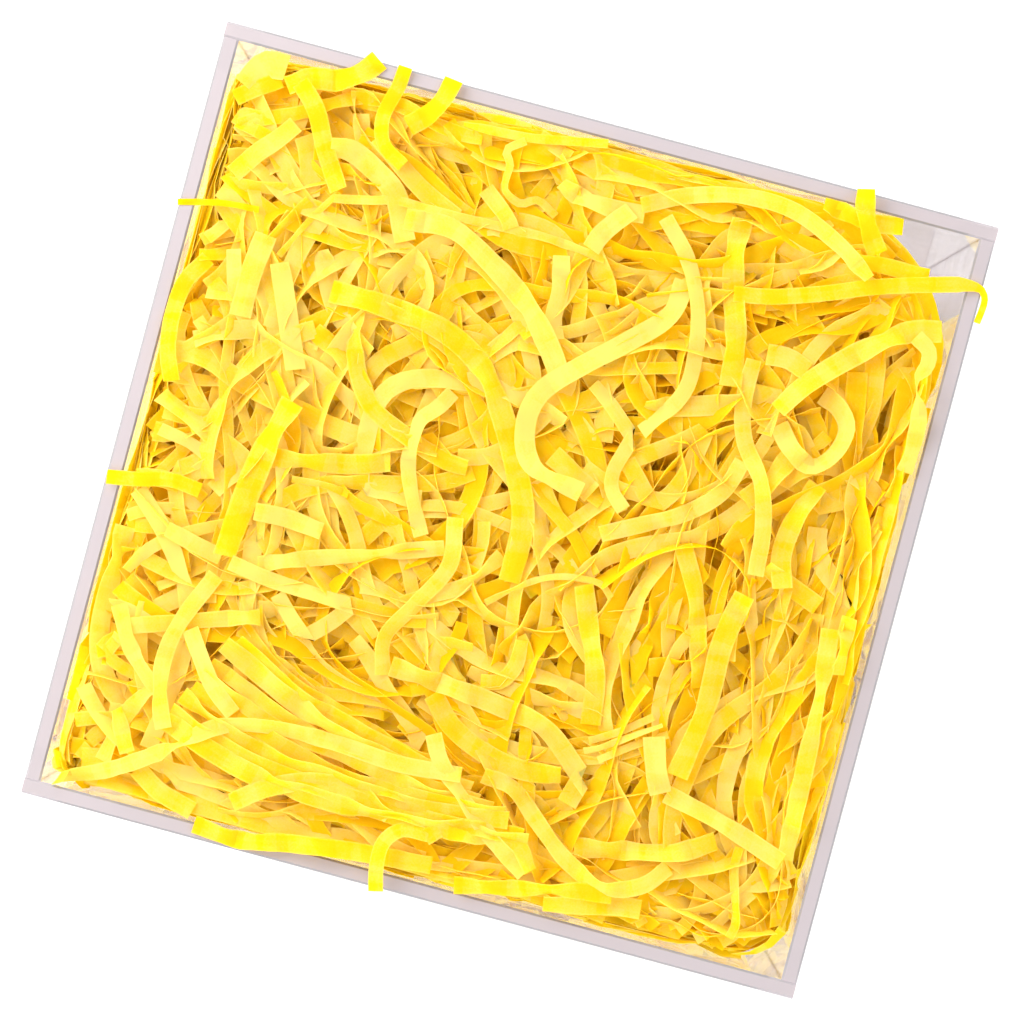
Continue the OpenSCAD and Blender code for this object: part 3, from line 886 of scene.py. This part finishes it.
def make_acrylic_material(name, thin_axis, face_colour):
    """Clear acrylic with soft smudges, and satin sawn edges where it doesn't face along its thin axis. The
    sawn edges' lilac grey is partly painted shade, and for the base the faces' colour is painted shade of
    the floor under it.

    Shadow rays pass straight through it, so that the paper behind it is lit.
    """
    material, node = new_material(name)
    place = node("ShaderNodeTexCoord").outputs["Object"]
    smudge = node("ShaderNodeTexNoise", {"Vector": place}, Scale=45, Detail=4).outputs["Fac"]
    rough = map_range(node, smudge, (0.5, 0.8), (0.01, 0.06))
    ripple = node("ShaderNodeTexNoise", {"Vector": place}, Scale=120, Detail=2).outputs["Fac"]
    bump = node("ShaderNodeBump", {"Height": ripple}, Strength=0.05, Distance=0.0002).outputs[0]
    normal = node("ShaderNodeTexCoord").outputs["Normal"]
    facing = node("ShaderNodeVectorMath", {0: normal}, operation="DOT_PRODUCT")
    facing.inputs[1].default_value = thin_axis
    squareness = node("ShaderNodeMath", {0: facing.outputs["Value"]}, operation="ABSOLUTE").outputs[0]
    clearness = map_range(node, squareness, (0.4, 0.9), (SAWN_CLEAR, 1))
    # Sawn edges take a lilac grey that is partly painted shade; faces take face_colour
    colour = colour_ramp(node, clearness, [(SAWN_CLEAR, SAWN_TINT_AND_SHADE), (1.0, face_colour)])
    glass = node(
        "ShaderNodeBsdfPrincipled",
        {
            "Base Color": colour,
            "Roughness": rough,
            "Normal": bump,
            "Transmission Weight": clearness,
        },
        IOR=1.49,
    )
    glass.inputs["Specular IOR Level"].default_value = 0.2
    clear = node("ShaderNodeBsdfTransparent")
    clear.inputs["Color"].default_value = (*SHADOW_TINT, 1)
    shadow = node("ShaderNodeLightPath").outputs["Is Shadow Ray"]
    mix = node("ShaderNodeMixShader", {"Fac": shadow, 1: glass.outputs[0], 2: clear.outputs[0]})
    node("ShaderNodeOutputMaterial", {"Surface": mix.outputs[0]})
    return material


top_tissue = make_paper_material("yellow_tissue", 0.7)
core_tissue = make_paper_material("deep_yellow_tissue", 0.4)
side_acrylic = make_acrylic_material("side_acrylic", (1, 0, 0), WALL_TINT)
front_acrylic = make_acrylic_material("front_acrylic", (0, 1, 0), WALL_TINT)
# The base's faces are darkened as painted shade of the floor under the box
base_acrylic = make_acrylic_material("base_acrylic", (0, 0, 1), BASE_TINT_AND_SHADE)
PANELS = {
    "base_panel": base_acrylic,
    "front_panel": front_acrylic,
    "back_panel": front_acrylic,
    "left_panel": side_acrylic,
    "right_panel": side_acrylic,
}

# ---- Acrylic panels: the CAD nodes with softened edges ----

PANEL_BEVEL = 0.15

for panel, material in PANELS.items():
    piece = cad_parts[panel]
    piece.data.materials.clear()
    piece.data.materials.append(material)
    bevel = piece.modifiers.new("edges", "BEVEL")
    bevel.width = PANEL_BEVEL * MM
    bevel.segments = 2

# ---- Paper ----

for number, ribbons in enumerate(make_core_fill()):
    piece = ribbons.build(f"core_paper_{number + 1}", "bed_paper", core_tissue)
    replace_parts(piece, "paper_bed")

heap = Heap(RIM - TOP_DEPTH)
for number, ribbons in enumerate(make_top_fill(heap)):
    ribbons.build(f"top_paper_{number + 1}", "top_paper", top_tissue)

# The placed strips lie on the loose paper and on the rim
on_rim = np.maximum(np.abs(heap.x), np.abs(heap.y)) > INNER_HALF
heap.height = np.where(on_rim, RIM, np.minimum(heap.height, RIM + HEAP_OVER_RIM))

bundle = Ribbons()
for number in range(BUNDLE_COUNT):
    points = [
        (x + dx * number + rng.normal(0, 0.7), y + dy * number + rng.normal(0, 0.5))
        for (x, y), (dx, dy) in zip(BUNDLE_START, BUNDLE_SHIFT)
    ]
    lay_shred(heap, bundle, rng.uniform(0.7, 1.1), rng.uniform(0.25, 0.6), points, BUNDLE_TILT)
bundle.build("bundle_paper", "top_paper", top_tissue)

extra = Ribbons()
for share, tone_and_highlight, points in EXTRA_SHREDS:
    lay_shred(heap, extra, share, tone_and_highlight, points, boxed=True)
extra.build("extra_paper", "pale_paper", top_tissue)

for name, share, tone_and_highlight, points in TOP_SHREDS:
    ribbons = Ribbons()
    lay_shred(heap, ribbons, share, tone_and_highlight, points)
    slot = "pale_paper" if tone_and_highlight > PALE_TONE_AND_HIGHLIGHT else "top_paper"
    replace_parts(ribbons.build(f"{name}_paper", slot, top_tissue), name)

path = smooth_leg(HANGING_SHRED, PLACED_STEP) + (0, 0, RIM)
hanging = Ribbons()
width = np.interp(path[:, 0], HANGING_NARROWS, HANGING_WIDTHS)
level_frame = lying_frame(path, np.zeros(len(path)), [])
hanging.add(path, *level_frame, width, HANGING_TONE_AND_HIGHLIGHT, PLACED_CROWN)
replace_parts(hanging.build("rim_shred_right_paper", "top_paper", top_tissue), "rim_shred_right")

# ---- Floor, light and camera ----

# The floor is a faintly lit white table, so that the box throws almost no shadow. It is just
# under the box. Lengths here are in metres.
FLOOR_GLOW = 0.35
FLOOR_RADIUS = 4
FLOOR_DROP = 0.0005

floor_material, node = new_material("pale_floor")
floor_place = node("ShaderNodeTexCoord").outputs["Object"]
floor_grain = node("ShaderNodeTexNoise", {"Vector": floor_place}, Scale=60).outputs["Fac"]
floor_colour = colour_ramp(node, floor_grain, [(0.3, (0.61, 0.61, 0.61)), (0.7, (0.64, 0.64, 0.64))])
floor_shader = node("ShaderNodeBsdfPrincipled", {"Base Color": floor_colour}, Roughness=0.9)
floor_shader.inputs["Emission Color"].default_value = (1, 1, 1, 1)
floor_shader.inputs["Emission Strength"].default_value = FLOOR_GLOW
node("ShaderNodeOutputMaterial", {"Surface": floor_shader.outputs[0]})
bpy.ops.mesh.primitive_circle_add(
    vertices=96, radius=FLOOR_RADIUS, fill_type="NGON", location=(0, 0, -FLOOR_DROP)
)
floor = bpy.context.object
floor.name = "floor"
floor.data.materials.append(floor_material)


def soft_light(name, place, size, power, colour, aim_height=RIM):
    """A square softbox aimed at a height in millimetres on the box's middle line.

    Neither the camera nor the acrylic shows the light itself.
    """
    data = bpy.data.lights.new(name, "AREA")
    data.shape = "SQUARE"
    data.size = size
    data.energy = power
    data.color = colour
    light = bpy.data.objects.new(name, data)
    light.location = place
    aim = Vector((0, 0, aim_height * MM)) - Vector(place)
    light.rotation_euler = aim.to_track_quat("-Z", "Y").to_euler()
    light.visible_camera = False
    light.visible_glossy = False
    light.visible_transmission = False
    bpy.context.scene.collection.objects.link(light)


soft_light("key_light", (-0.42, 0.15, 0.5), size=0.45, power=5, colour=(1, 0.99, 0.97))
soft_light("top_light", (0.5, -0.4, 1.2), size=1.0, power=7, colour=(1, 1, 1))

# Low lights around the box, which light the paper through the walls
SIDE_LIGHTS = 4
SIDE_LIGHT_TURN = 20
SIDE_LIGHT_DISTANCE = 0.8
SIDE_LIGHT_HEIGHT = 0.12
for number in range(SIDE_LIGHTS):
    angle = math.radians(360 / SIDE_LIGHTS * number + SIDE_LIGHT_TURN)
    place = (SIDE_LIGHT_DISTANCE * math.cos(angle), SIDE_LIGHT_DISTANCE * math.sin(angle), SIDE_LIGHT_HEIGHT)
    soft_light(
        f"side_light_{number + 1}", place, size=0.4, power=5, colour=(1, 1, 1), aim_height=RIM / 2
    )

world = bpy.data.worlds.new("studio")
world.use_nodes = True
background = world.node_tree.nodes["Background"]
background.inputs["Color"].default_value = (0.98, 0.97, 1.0, 1)
background.inputs["Strength"].default_value = 0.96
bpy.context.scene.world = world
bpy.context.scene.view_settings.view_transform = "Standard"

# The camera looks straight down. In metres, its height above the floor and the width of its view
# at the rim; in degrees, how far the box is turned in the photo; in millimetres, its sensor.
CAMERA_HEIGHT = 0.8
VIEW_WIDTH = 0.1915
BOX_TURN = 15
SENSOR_WIDTH = 36

camera_data = bpy.data.cameras.new("camera")
camera_data.sensor_width = SENSOR_WIDTH
camera_data.lens = SENSOR_WIDTH * (CAMERA_HEIGHT - RIM * MM) / VIEW_WIDTH
camera = bpy.data.objects.new("camera", camera_data)
camera.location = (0, 0, CAMERA_HEIGHT)
camera.rotation_euler = (0, 0, math.radians(BOX_TURN))
bpy.context.scene.collection.objects.link(camera)
bpy.context.scene.camera = camera
